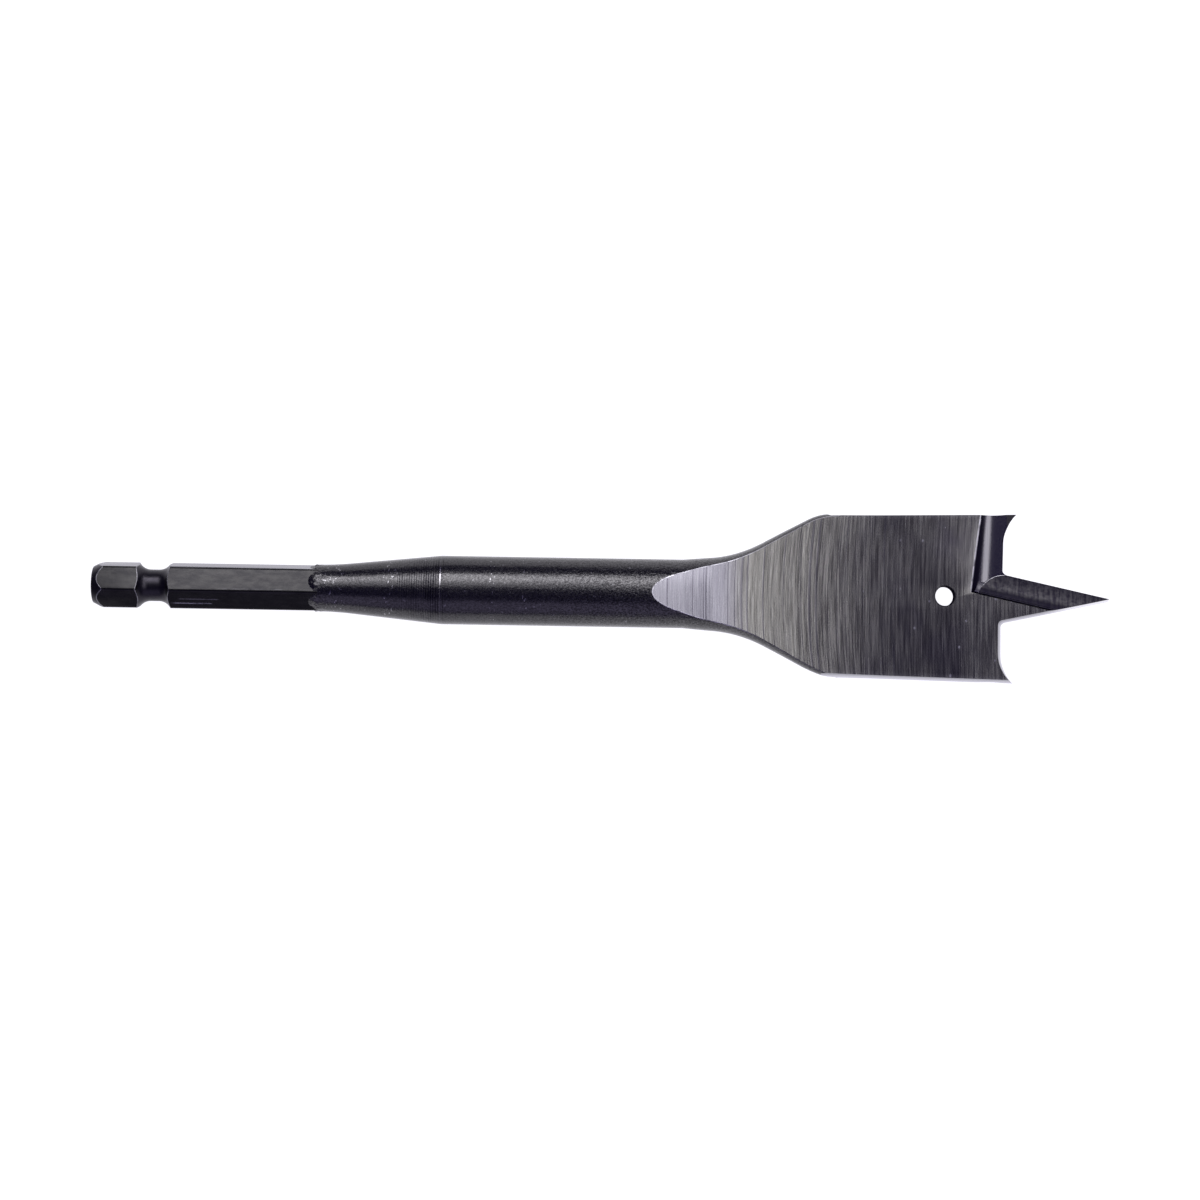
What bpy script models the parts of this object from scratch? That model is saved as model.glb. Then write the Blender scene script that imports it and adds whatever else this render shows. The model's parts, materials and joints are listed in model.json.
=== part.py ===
"""A spade drill bit, 25.2 mm wide and 152 mm long, forged from one steel bar.

The bit is drawn in its own frame: X runs along the axis from the end of the hex shank to the tip, Y runs
across the blade and Z through its thickness. An empty then carries that frame to the place where the bit
lies level on its round shank, with its lowest line on z = 0 and its length centred on x = 0.

A half turn about the axis brings the bit onto itself, so every ground cut is a pair: the first cutter works
on the +Y half from the front face (+Z), and its twin is the same mesh turned by 180 degrees about X. Each
half leads with its cutting edge on the face that it is ground from, and falls back behind that edge.

Lengths are in metres, and names that end in _DEG are in degrees.
"""

import math

import bmesh
import bpy
from mathutils import Matrix, Vector

# Stretches along the axis, in order from the shank's end
HEX_LENGTH = 0.0333
TAPER_LENGTH = 0.0188
ROUND_LENGTH = 0.036
FLARE_LENGTH = 0.0202
BLADE_LENGTH = 0.0278
POINT_LENGTH = 0.0159

# Hex shank
HEX_ACROSS_FLATS = 0.0063
HEX_CORNER_RADIUS = 0.0004
HEX_TURN_DEG = 16.0  # how far a flat leans from the blade's face, about the axis
END_FACE_RADIUS = 0.00272
END_CHAMFER_LENGTH = 0.0018
GROOVE_START = 0.0067
GROOVE_LENGTH = 0.005
NECK_LENGTH = 0.0012
NECK_RADIUS = 0.00237
RUNOUT_LENGTH = 0.0012  # the taper's root climbs over the flats and the corners within this length

# Taper and round shank
TAPER_ROOT_RADIUS = 0.0035
TAPER_BLEND_LENGTH = 0.0054
ROUND_RADIUS = 0.00514

# Forged flare between the round shank and the blade
FORGED_THICKNESS = 0.0052
FLATTEN_START = 0.0035  # past the end of the round shank
SPREAD_ANGLE_DEG = 4.6
FLARE_ANGLE_DEG = 27.8
FLARE_ROOT_BLEND = 0.0017
FORGING_OFFSET = 0.00024  # the forging lies this far to +Y of the ground blade
OFFSET_LENGTH = 0.0121
SHOULDER_BLENDS = (0.00064, 0.0016)  # how far each shoulder is rounded, to +Y and to -Y
SHOULDER_STOCKS = (0.0002, 0.00025)  # how far the forging stands outside the ground side there
SHOULDER_ANGLE_DEG = 5.0  # past the shoulders it still widens, until the ground side takes over

# Ground blade
BLADE_WIDTH = 0.0252
BLADE_THICKNESS = 0.0024
SIDE_TAPER_DEG = 1.15
SIDE_RELIEF_DEG = 10.5
GRIND_RADIUS = 0.1636
GRIND_RUNOUT = 0.0109  # the face is flat from this far past the shoulder
HOLE_DIAMETER = 0.0032
HOLE_FROM_LIPS = 0.00875
HOLE_OFFSET = 0.00025

# Cutting lips, spurs and point
LIP_RELIEF_DEG = 18.8
SPUR_HEIGHT = 0.0018
SPUR_ARC_RADIUS = 0.006
SPUR_ARC_SWEEP_DEG = 60.0
POINT_HALF_ANGLE_DEG = 12.15
POINT_RELIEF_DEG = 7.5
POINT_ROOT_RADIUS = 0.0008

# Groove behind each lip, which hollows the lip to its rake
LIP_GROOVE_RADIUS = 0.005
LIP_GROOVE_SETBACK = 0.00158  # from the lip back to the groove's deepest line, at the blade's side
LIP_GROOVE_DEPTH = 0.00036  # at the blade's side
LIP_GROOVE_FALL_DEG = 1.7  # it deepens towards the axis
LIP_GROOVE_SLANT_DEG = 2.2

# Flute along each side of the point
FLUTE_WIDTH = 0.00378
FLUTE_RADIUS = 0.00375
FLUTE_DEPTH = 0.00072

# Facets
FACETS_AROUND = 60  # a multiple of four, so that the shank lies on a facet
FACETS_ON_HEX_CORNER = 3
FACETS_ON_BLEND = 6
FACETS_ON_GRIND = 14
FACETS_ON_FLARE = 24
FACETS_ON_FILLET = 6
FACETS_ON_SPUR = 8
FACETS_ON_FLUTE_END = 8
FACETS_IN_HOLE = 32
FACETS_IN_GROOVE = 96
SHARP_ANGLE_DEG = 8.0  # an edge that turns by more than this is drawn sharp

# Stations along the axis
TAPER_START = HEX_LENGTH
ROUND_START = TAPER_START + TAPER_LENGTH
FLARE_START = ROUND_START + ROUND_LENGTH
SHOULDER = FLARE_START + FLARE_LENGTH
LIPS = SHOULDER + BLADE_LENGTH
TIP = LIPS + POINT_LENGTH
SPUR_TIPS = LIPS + SPUR_HEIGHT

# Allowances that leave no trace on the finished form
SPARE = 0.004  # cutters and blanks reach this far past what they cut
HEX_CLEARANCE = 0.0005  # the turned envelope stands this far outside the hex's corners
FLUTE_LAP = 0.00003  # the lip groove stops this far inside the flute's border, and short of its wall
WELD_DISTANCE = 1e-6

# Lengths that follow from those above
HEX_CORNER = HEX_ACROSS_FLATS / math.sqrt(3)
FRONT = BLADE_THICKNESS / 2  # the blade's front face, above its middle plane
FLUTE_HALF_CHORD = math.sqrt(2 * FLUTE_RADIUS * FLUTE_DEPTH - FLUTE_DEPTH**2)
ROD_LENGTH = 2 * (BLADE_LENGTH + POINT_LENGTH)

# Turns that carry a cutter from the plane it is drawn in
HALF_TURN = Matrix.Rotation(math.pi, 4, "X")
Z_TO_X = Matrix.Rotation(math.pi / 2, 4, "Y")
X_TO_Z = Matrix.Rotation(-math.pi / 2, 4, "Y")
Y_TO_Z = Matrix.Rotation(math.pi / 2, 4, "X")
XY_TO_YZ = Matrix.Rotation(math.pi / 2, 4, "Z") @ Y_TO_Z


def clear_scene():
    for obj in list(bpy.data.objects):
        bpy.data.objects.remove(obj, do_unlink=True)
    for collection in list(bpy.data.collections):
        bpy.data.collections.remove(collection)


def new_collection(name):
    collection = bpy.data.collections.new(name)
    bpy.context.scene.collection.children.link(collection)
    return collection


def steel():
    """Blackened steel, with the sheen of a ground and oiled surface."""
    material = bpy.data.materials.new("black_steel")
    material.use_nodes = True
    shader = material.node_tree.nodes["Principled BSDF"]
    shader.inputs["Base Color"].default_value = (0.085, 0.08, 0.1, 1.0)
    shader.inputs["Metallic"].default_value = 1.0
    shader.inputs["Roughness"].default_value = 0.35
    return material


def object_of(mesh, collection, axis_empty):
    obj = bpy.data.objects.new(mesh.name, mesh)
    collection.objects.link(obj)
    obj.parent = axis_empty
    return obj


def evaluated_mesh(obj, name):
    """The object's mesh with its modifiers applied, and its seams welded; the object is removed."""
    graph = bpy.context.evaluated_depsgraph_get()
    mesh = bpy.data.meshes.new_from_object(obj.evaluated_get(graph))
    bpy.data.batch_remove([obj, obj.data])
    mesh.name = name
    form = bmesh.new()
    form.from_mesh(mesh)
    bmesh.ops.remove_doubles(form, verts=form.verts, dist=WELD_DISTANCE)
    form.to_mesh(mesh)
    form.free()
    return mesh


def turned(name, profile):
    """The surface that a profile of (along the axis, radius) points sweeps round X, with a facet lowest."""
    mesh = bpy.data.meshes.new(name)
    points = [(radius, 0.0, along) for along, radius in reversed(profile)]
    mesh.from_pydata(points, [(i, i + 1) for i in range(len(points) - 1)], [])
    obj = bpy.data.objects.new(name, mesh)
    bpy.context.scene.collection.objects.link(obj)
    screw = obj.modifiers.new("turn", "SCREW")
    screw.axis = "Z"
    screw.steps = FACETS_AROUND
    screw.render_steps = FACETS_AROUND
    screw.use_merge_vertices = True
    screw.merge_threshold = WELD_DISTANCE
    bpy.context.view_layer.update()
    result = evaluated_mesh(obj, name)
    result.transform(Matrix.Rotation(math.pi / FACETS_AROUND, 4, "X") @ Z_TO_X)
    return result


def extruded(name, outline, half_depth, placed=None):
    """A flat outline in XY, thickened both ways along Z, then carried by the matrix placed."""
    curve = bpy.data.curves.new(name, "CURVE")
    curve.dimensions = "2D"
    curve.fill_mode = "BOTH"
    curve.extrude = half_depth
    spline = curve.splines.new("POLY")
    spline.points.add(len(outline) - 1)
    for point, (x, y) in zip(spline.points, outline):
        point.co = (x, y, 0.0, 1.0)
    spline.use_cyclic_u = True
    obj = bpy.data.objects.new(name, curve)
    bpy.context.scene.collection.objects.link(obj)
    bpy.context.view_layer.update()
    mesh = evaluated_mesh(obj, name)
    mesh.shade_flat()
    if placed is not None:
        mesh.transform(placed)
    return mesh


def arc(centre, radius, start_deg, end_deg, facets):
    """Points on an arc, both ends included."""
    steps = [start_deg + (end_deg - start_deg) * i / facets for i in range(facets + 1)]
    return [
        (
            centre[0] + radius * math.cos(math.radians(angle)),
            centre[1] + radius * math.sin(math.radians(angle)),
        )
        for angle in steps
    ]


def smooth_step(share):
    share = min(max(share, 0.0), 1.0)
    return share * share * (3.0 - 2.0 * share)


def soft_min(a, b, blend):
    """The lesser of two heights, rounded off where they come within blend of each other."""
    share = min(max(0.5 + 0.5 * (b - a) / blend, 0.0), 1.0)
    return b + (a - b) * share - blend * share * (1.0 - share)


def soft_max(a, b, blend):
    return -soft_min(-a, -b, blend)


def side_half_width(along):
    """Half the blade's width on its leading face: widest at the spurs, and less towards the shank."""
    return BLADE_WIDTH / 2 - math.tan(math.radians(SIDE_TAPER_DEG)) * (SPUR_TIPS - along)


def hex_bar():
    """A hex bar with rounded corners, turned about the axis, which ends inside the taper."""
    bar = bpy.data.meshes.new("hex_bar")
    form = bmesh.new()
    length = HEX_LENGTH + RUNOUT_LENGTH / 2
    bmesh.ops.create_cone(
        form, cap_ends=True, segments=6, radius1=HEX_CORNER, radius2=HEX_CORNER, depth=length
    )
    corners = [e for e in form.edges if abs(e.verts[0].co.z - e.verts[1].co.z) > length / 2]
    bmesh.ops.bevel(
        form,
        geom=corners,
        offset=HEX_CORNER_RADIUS * math.tan(math.radians(30)),
        offset_type="OFFSET",
        segments=FACETS_ON_HEX_CORNER,
        profile=0.5,
        affect="EDGES",
    )
    form.to_mesh(bar)
    form.free()
    turn = Matrix.Rotation(math.radians(-HEX_TURN_DEG), 4, "X")
    bar.transform(turn @ Matrix.Translation((length / 2, 0, 0)) @ Z_TO_X)
    return bar


def hex_envelope():
    """The turned form that trims the hex bar to its chamfered end and detent groove."""
    clear = HEX_CORNER + HEX_CLEARANCE
    flank = (GROOVE_LENGTH - NECK_LENGTH) / 2
    fall = HEX_CORNER - NECK_RADIUS
    flank_radius = (flank**2 + fall**2) / (2 * fall)
    sweep = math.degrees(math.asin(flank / flank_radius))
    height = NECK_RADIUS + flank_radius
    neck_start = GROOVE_START + flank
    neck_end = neck_start + NECK_LENGTH
    slope = (HEX_CORNER - END_FACE_RADIUS) / END_CHAMFER_LENGTH
    reach = END_CHAMFER_LENGTH + (clear - HEX_CORNER) / slope
    profile = [(0.0, 0.0), (0.0, END_FACE_RADIUS), (reach, clear), (GROOVE_START, clear)]
    profile += arc((neck_start, height), flank_radius, -90 - sweep, -90, FACETS_ON_FILLET)
    profile += arc((neck_end, height), flank_radius, -90, -90 + sweep, FACETS_ON_FILLET)
    far = HEX_LENGTH + SPARE
    profile += [(GROOVE_START + GROOVE_LENGTH, clear), (far, clear), (far, 0.0)]
    return turned("hex_envelope", profile)


def shank_profile():
    """The taper's root, inside the hex, then the taper and the round shank, open at the flare."""
    climb = (TAPER_ROOT_RADIUS - HEX_ACROSS_FLATS / 2) / RUNOUT_LENGTH
    root = TAPER_START - 2 * RUNOUT_LENGTH
    profile = [(root, 0.0), (root, TAPER_ROOT_RADIUS - climb * (TAPER_START - root))]
    slope = (ROUND_RADIUS - TAPER_ROOT_RADIUS) / (TAPER_LENGTH - TAPER_BLEND_LENGTH / 2)
    for step in range(FACETS_ON_BLEND + 1):
        share = step / FACETS_ON_BLEND
        along = TAPER_START + TAPER_BLEND_LENGTH * share
        profile.append((along, TAPER_ROOT_RADIUS + slope * TAPER_BLEND_LENGTH * share**2 / 2))
    profile += [(ROUND_START, ROUND_RADIUS), (FLARE_START, ROUND_RADIUS)]
    return profile


def forged_half_widths(along):
    """How far the forging reaches to +Y and to -Y: spread a little, then flared to rounded shoulders."""
    spread = ROUND_RADIUS + math.tan(math.radians(SPREAD_ANGLE_DEG)) * (along - FLARE_START)
    fall = math.tan(math.radians(FLARE_ANGLE_DEG)) * (SHOULDER - along)
    flare = soft_max(spread, side_half_width(SHOULDER) - fall, FLARE_ROOT_BLEND) - spread
    half = spread + flare * smooth_step((along - FLARE_START) / FLATTEN_START)
    offset = FORGING_OFFSET * smooth_step((along - FLARE_START - FLATTEN_START) / OFFSET_LENGTH)
    widening = math.tan(math.radians(SHOULDER_ANGLE_DEG)) * (along - SHOULDER)
    limit = side_half_width(SHOULDER) + widening
    return [
        soft_min(reach, limit + stock, blend)
        for reach, stock, blend in zip((half + offset, half - offset), SHOULDER_STOCKS, SHOULDER_BLENDS)
    ]


def forged_section(along):
    """A round bar's section squeezed flat: two half circles, drawn apart by a straight stretch."""
    flatten_from = FLARE_START + FLATTEN_START
    share = smooth_step((along - flatten_from) / (SHOULDER - flatten_from))
    half_thickness = ROUND_RADIUS + (FORGED_THICKNESS / 2 - ROUND_RADIUS) * share
    reach = forged_half_widths(along)
    ring = []
    for step in range(FACETS_AROUND):
        angle = (step + 0.5) * 2 * math.pi / FACETS_AROUND
        centre = reach[0] - half_thickness if math.cos(angle) > 0 else half_thickness - reach[1]
        across = centre + half_thickness * math.cos(angle)
        ring.append((along, across, half_thickness * math.sin(angle)))
    return ring


def forging():
    """The whole bar ahead of the hex: the turned shank, welded to a loft of the flattened sections."""
    mesh = turned("spade_bit", shank_profile())
    flare_end = SHOULDER + SPARE
    stations = [
        FLARE_START + (flare_end - FLARE_START) * i / FACETS_ON_FLARE
        for i in range(FACETS_ON_FLARE + 1)
    ] + [TIP + SPARE]
    form = bmesh.new()
    form.from_mesh(mesh)
    rings = [[form.verts.new(point) for point in forged_section(along)] for along in stations]
    for near, far in zip(rings, rings[1:]):
        for i in range(FACETS_AROUND):
            j = (i + 1) % FACETS_AROUND
            form.faces.new((near[i], near[j], far[j], far[i]))
    form.faces.new(rings[-1])
    bmesh.ops.remove_doubles(form, verts=form.verts, dist=WELD_DISTANCE)
    bmesh.ops.recalc_face_normals(form, faces=form.faces)
    form.to_mesh(mesh)
    form.free()
    return mesh


def relieved(name, outline, lip_lean_deg, side_lean_deg):
    """A cutter for the +Y half, drawn on the front face, that leans back below it at the two angles."""
    lean = Matrix.Identity(4)
    lean[0][2] = math.tan(math.radians(lip_lean_deg))
    lean[1][2] = math.tan(math.radians(side_lean_deg))
    lift = Matrix.Translation((0, 0, FRONT))
    return extruded(name, outline, FORGED_THICKNESS, lift @ lean)


def face_cutter():
    """The grinding wheel's path over a face: flat over the blade, curving up and out of the shank."""
    flat_from = SHOULDER + GRIND_RUNOUT
    rise = ROUND_RADIUS + SPARE / 2 - FRONT
    sweep = math.degrees(math.acos(1 - rise / GRIND_RADIUS))
    top = ROUND_RADIUS + SPARE
    path = arc((flat_from, FRONT + GRIND_RADIUS), GRIND_RADIUS, -90 - sweep, -90, FACETS_ON_GRIND)
    outline = [(path[0][0], top)] + path + [(TIP + 2 * SPARE, FRONT), (TIP + 2 * SPARE, top)]
    return extruded("face_cutter", outline, BLADE_WIDTH, Y_TO_Z)


def side_cutter():
    near, far = FLARE_START, TIP
    outside = BLADE_WIDTH
    outline = [
        (near, side_half_width(near)),
        (far, side_half_width(far)),
        (far, outside),
        (near, outside),
    ]
    return relieved("side_cutter", outline, 0.0, SIDE_RELIEF_DEG)


def point_edge():
    """Where the point's leading edge would reach the axis on the front face, and its slope towards it."""
    slope = math.tan(math.radians(POINT_HALF_ANGLE_DEG))
    lip_fall = math.tan(math.radians(LIP_RELIEF_DEG)) * FRONT
    side_fall = math.tan(math.radians(POINT_RELIEF_DEG)) * FRONT
    return TIP + lip_fall + side_fall / slope, slope


def end_cutter():
    """The air ahead of one half: past the point's edge, round its root, along the lip and up the spur."""
    reach, slope = point_edge()
    far = TIP + 2 * SPARE
    lean = POINT_HALF_ANGLE_DEG
    root_along = LIPS + POINT_ROOT_RADIUS
    root_across = slope * (reach - root_along) + POINT_ROOT_RADIUS / math.cos(math.radians(lean))
    fillet = arc((root_along, root_across), POINT_ROOT_RADIUS, -90 - lean, -180, FACETS_ON_FILLET)
    drop = SPUR_ARC_RADIUS - SPUR_HEIGHT
    spur_across = BLADE_WIDTH / 2 - math.sqrt(SPUR_ARC_RADIUS**2 - drop**2)
    centre = (LIPS + SPUR_ARC_RADIUS, spur_across)
    spur = arc(centre, SPUR_ARC_RADIUS, 180, 180 - SPUR_ARC_SWEEP_DEG, FACETS_ON_SPUR)
    outline = [(far, slope * (reach - far))] + fillet + spur
    outline += [(spur[-1][0], BLADE_WIDTH), (far, BLADE_WIDTH)]
    return relieved("end_cutter", outline, LIP_RELIEF_DEG, POINT_RELIEF_DEG)


def rod(name, radius, length, facets, placed):
    """A cylinder along X, centred, then carried by the matrix placed."""
    mesh = bpy.data.meshes.new(name)
    form = bmesh.new()
    bmesh.ops.create_cone(
        form, cap_ends=True, segments=facets, radius1=radius, radius2=radius, depth=length
    )
    form.to_mesh(mesh)
    form.free()
    mesh.transform(placed @ Z_TO_X)
    mesh.shade_smooth()
    return mesh


def within(mesh, *limits):
    """The part of a cutter that lies inside each of the other meshes."""
    obj = bpy.data.objects.new(mesh.name, mesh)
    fences = [bpy.data.objects.new(limit.name, limit) for limit in limits]
    for member in [obj] + fences:
        bpy.context.scene.collection.objects.link(member)
    for fence in fences:
        boolean(obj, fence, "INTERSECT")
    bpy.context.view_layer.update()
    result = evaluated_mesh(obj, mesh.name)
    bpy.data.batch_remove(fences + list(limits))
    return result


def flute_border(along):
    """How far across the flute's inner border stands, which is parallel to the point's edge."""
    reach, slope = point_edge()
    return slope * (reach - along) - FLUTE_WIDTH / math.cos(math.radians(POINT_HALF_ANGLE_DEG))


def flute_end(radius):
    """The flute's end, round the place where its border meets the lips, from there to the lips' line."""
    centre = (LIPS, flute_border(LIPS))
    return arc(centre, radius, 180 - POINT_HALF_ANGLE_DEG, 90, FACETS_ON_FLUTE_END)


def flute_frame():
    """Carries X to the point's leading edge and Y across it, with the flute's border as the zero line."""
    reach = point_edge()[0]
    return (
        Matrix.Translation((reach, 0, 0))
        @ Matrix.Rotation(math.radians(-POINT_HALF_ANGLE_DEG), 4, "Z")
        @ Matrix.Translation((0, -FLUTE_WIDTH, 0))
    )


def lip_groove_cutter():
    """A round hollow behind the lip, which ends in the same wall as the flute's and at the flute's end."""
    fall = math.radians(LIP_GROOVE_FALL_DEG)
    height = FRONT - LIP_GROOVE_DEPTH + LIP_GROOVE_RADIUS
    placed = (
        Matrix.Translation((LIPS - LIP_GROOVE_SETBACK, BLADE_WIDTH / 2, height))
        @ Matrix.Rotation(math.radians(90 - LIP_GROOVE_SLANT_DEG), 4, "Z")
        @ Matrix.Rotation(-fall, 4, "Y")
    )
    groove = rod("lip_groove_cutter", LIP_GROOVE_RADIUS, ROD_LENGTH, FACETS_IN_GROOVE, placed)
    end = flute_end(FLUTE_WIDTH - FLUTE_LAP)
    near = LIPS - 2 * LIP_GROOVE_RADIUS
    outline = [(near, flute_border(near))] + end
    outline += [(TIP, end[-1][1]), (TIP, BLADE_WIDTH), (near, BLADE_WIDTH)]
    sweep = math.degrees(math.asin(FLUTE_HALF_CHORD / FLUTE_RADIUS))
    centre = (FLUTE_HALF_CHORD + FLUTE_LAP, FRONT - FLUTE_DEPTH + FLUTE_RADIUS)
    wall = arc(centre, FLUTE_RADIUS, -90 - sweep, -90, FACETS_ON_FLUTE_END)
    low = FRONT - BLADE_THICKNESS
    profile = [(wall[0][0], FORGED_THICKNESS)] + wall + [(wall[-1][0], low)]
    profile += [(BLADE_WIDTH, low), (BLADE_WIDTH, FORGED_THICKNESS)]
    beside = extruded("beside_flute", profile, ROD_LENGTH, flute_frame() @ XY_TO_YZ)
    return within(groove, extruded("plan", outline, BLADE_WIDTH), beside)


def flute_cutter():
    """A round hollow along the point, parallel to its leading edge, which it cuts through."""
    lift = Matrix.Translation((0, FLUTE_HALF_CHORD, FRONT - FLUTE_DEPTH + FLUTE_RADIUS))
    flute = rod("flute_cutter", FLUTE_RADIUS, ROD_LENGTH, FACETS_IN_GROOVE, flute_frame() @ lift)
    end = flute_end(FLUTE_WIDTH)
    far = TIP + SPARE
    outline = end + [(end[-1][0], BLADE_WIDTH), (far, BLADE_WIDTH)]
    outline += [(far, -BLADE_WIDTH), (end[0][0], -BLADE_WIDTH)]
    return within(flute, extruded("plan", outline, BLADE_WIDTH))


def hole_cutter():
    placed = Matrix.Translation((LIPS - HOLE_FROM_LIPS, HOLE_OFFSET, 0)) @ X_TO_Z
    return rod("hole_cutter", HOLE_DIAMETER / 2, BLADE_THICKNESS + SPARE, FACETS_IN_HOLE, placed)


def boolean(obj, other, operation):
    modifier = obj.modifiers.new(other.name, "BOOLEAN")
    modifier.object = other
    modifier.operation = operation
    modifier.solver = "EXACT"


def helper(mesh, collection, axis_empty):
    obj = object_of(mesh, collection, axis_empty)
    obj.hide_render = True
    obj.display_type = "WIRE"
    return obj


def main():
    clear_scene()
    parts = new_collection("spade_drill_bit")
    cutters = new_collection("cutters")
    axis_empty = bpy.data.objects.new("bit_axis", None)
    axis_empty.location = (-TIP / 2, 0, ROUND_RADIUS * math.cos(math.pi / FACETS_AROUND))
    parts.objects.link(axis_empty)

    shank = helper(hex_bar(), cutters, axis_empty)
    boolean(shank, helper(hex_envelope(), cutters, axis_empty), "INTERSECT")

    bit = object_of(forging(), parts, axis_empty)
    boolean(bit, shank, "UNION")
    for make in (face_cutter, side_cutter, end_cutter, lip_groove_cutter, flute_cutter):
        mesh = make()
        first = helper(mesh, cutters, axis_empty)
        twin = helper(mesh, cutters, axis_empty)
        twin.name = mesh.name + "_twin"
        twin.matrix_local = HALF_TURN
        boolean(bit, first, "DIFFERENCE")
        boolean(bit, twin, "DIFFERENCE")
    boolean(bit, helper(hole_cutter(), cutters, axis_empty), "DIFFERENCE")

    bit.data.materials.append(steel())
    bit.data.shade_smooth()
    bit.data.set_sharp_from_angle(angle=math.radians(SHARP_ANGLE_DEG))


main()
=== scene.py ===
"""The looks of the spade drill bit: a finely modelled bit in blackened steel, on a plain pale floor.

The bit is drawn in its own frame: X runs along the axis from the end of the hex shank to the tip, Y runs
across the blade and Z through its thickness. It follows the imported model's form, with finer facets, rounded
edges and the marks that forging, turning and grinding leave. Each kind of surface has its own material.

Lengths are in metres, and names that end in _DEG are in degrees.
"""

import json
import math

import bmesh
import bpy
from mathutils import Matrix, Vector, noise

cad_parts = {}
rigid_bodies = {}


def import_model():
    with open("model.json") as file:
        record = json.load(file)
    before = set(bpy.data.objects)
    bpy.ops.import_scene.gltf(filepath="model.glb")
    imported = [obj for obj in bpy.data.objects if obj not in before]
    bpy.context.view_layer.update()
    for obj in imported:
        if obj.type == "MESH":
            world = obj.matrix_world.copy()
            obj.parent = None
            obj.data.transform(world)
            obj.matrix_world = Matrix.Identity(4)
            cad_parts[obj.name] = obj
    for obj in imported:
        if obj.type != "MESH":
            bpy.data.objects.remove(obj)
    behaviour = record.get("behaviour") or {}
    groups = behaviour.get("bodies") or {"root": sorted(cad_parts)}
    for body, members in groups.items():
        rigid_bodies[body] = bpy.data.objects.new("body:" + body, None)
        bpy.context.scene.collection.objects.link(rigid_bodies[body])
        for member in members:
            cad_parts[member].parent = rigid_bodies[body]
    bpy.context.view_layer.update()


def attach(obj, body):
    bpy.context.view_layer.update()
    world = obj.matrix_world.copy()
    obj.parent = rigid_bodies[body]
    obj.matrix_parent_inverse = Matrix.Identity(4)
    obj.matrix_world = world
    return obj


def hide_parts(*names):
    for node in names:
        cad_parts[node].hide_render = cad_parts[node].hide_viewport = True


# Stretches along the axis, in order from the shank's end
HEX_LENGTH = 0.0333
TAPER_LENGTH = 0.0188
ROUND_LENGTH = 0.036
FLARE_LENGTH = 0.0202
BLADE_LENGTH = 0.0278
POINT_LENGTH = 0.0159

# Hex shank
HEX_ACROSS_FLATS = 0.0063
HEX_CORNER_RADIUS = 0.0004
HEX_TURN_DEG = 16.0
END_FACE_RADIUS = 0.00272
END_CHAMFER_LENGTH = 0.0018
GROOVE_START = 0.0067
GROOVE_LENGTH = 0.005
NECK_LENGTH = 0.0012
NECK_RADIUS = 0.00237
RUNOUT_LENGTH = 0.0009

# Taper and round shank
TAPER_ROOT_RADIUS = 0.0035
TAPER_BLEND_LENGTH = 0.0054
CAD_ROUND_RADIUS = 0.00514

# Forged flare between the round shank and the blade
FORGED_THICKNESS = 0.0052
FLATTEN_START = 0.0035
SPREAD_ANGLE_DEG = 4.6
FLARE_ANGLE_DEG = 27.8
FLARE_ROOT_BLEND = 0.0017
FORGING_OFFSET = 0.00024
OFFSET_LENGTH = 0.0121
SHOULDER_BLENDS = (0.00064, 0.0016)
SHOULDER_STOCKS = (0.0002, 0.00025)
SHOULDER_ANGLE_DEG = 5.0

# Ground blade
BLADE_WIDTH = 0.0252
BLADE_THICKNESS = 0.0024
SIDE_TAPER_DEG = 1.15
SIDE_RELIEF_DEG = 10.5
SIDE_GRIND_STARTS = (0.0019, 0.0007)
SIDE_GRIND_RAMP = 0.6
GRIND_RADIUS = 0.1636
GRIND_RUNOUT = 0.0109
HOLE_DIAMETER = 0.0029
HOLE_FROM_LIPS = 0.00875
HOLE_OFFSET = 0.00025

# Cutting lips, spurs and point
LIP_RELIEF_DEG = 18.8
SPUR_HEIGHT = 0.0018
SPUR_ARC_RADIUS = 0.006
SPUR_ARC_SWEEP_DEG = 60.0
POINT_HALF_ANGLE_DEG = 12.15
POINT_RELIEF_DEG = 7.5
POINT_ROOT_RADIUS = 0.0008

# Groove behind each lip, and flute along each side of the point
LIP_GROOVE_RADIUS = 0.005
LIP_GROOVE_SETBACK = 0.00158
LIP_GROOVE_DEPTH = 0.00036
LIP_GROOVE_FALL_DEG = 2.5
LIP_GROOVE_SLANT_DEG = 2.2
FLUTE_WIDTH = 0.00378
FLUTE_WALL_RADIUS = 0.00075
FLUTE_WALL_TILT_DEG = 60.0
FLUTE_FLOOR_RADIUS = 0.01
FLUTE_FLOOR_TILT_DEG = 8.0
FLUTE_FAR_TILT_DEG = 22.0

# Turning and rubbing marks on the taper, as stations from the shank's end
TURNING_PITCH = 0.00036
RUBBED_PLACES = ((0.0438, 0.0454), (0.0596, 0.06), (0.0644, 0.0648))

# Scratches along the hex, as (start, end, across, width, strength)
HEX_SCRATCHES = (
    (0.0122, 0.0176, -0.0027, 0.00008, 0.9),
    (0.0135, 0.0186, -0.0021, 0.00006, 0.35),
    (0.0192, 0.0282, -0.00055, 0.00005, 0.08),
    (0.009, 0.0102, -0.0019, 0.00008, 0.6),
)

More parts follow.
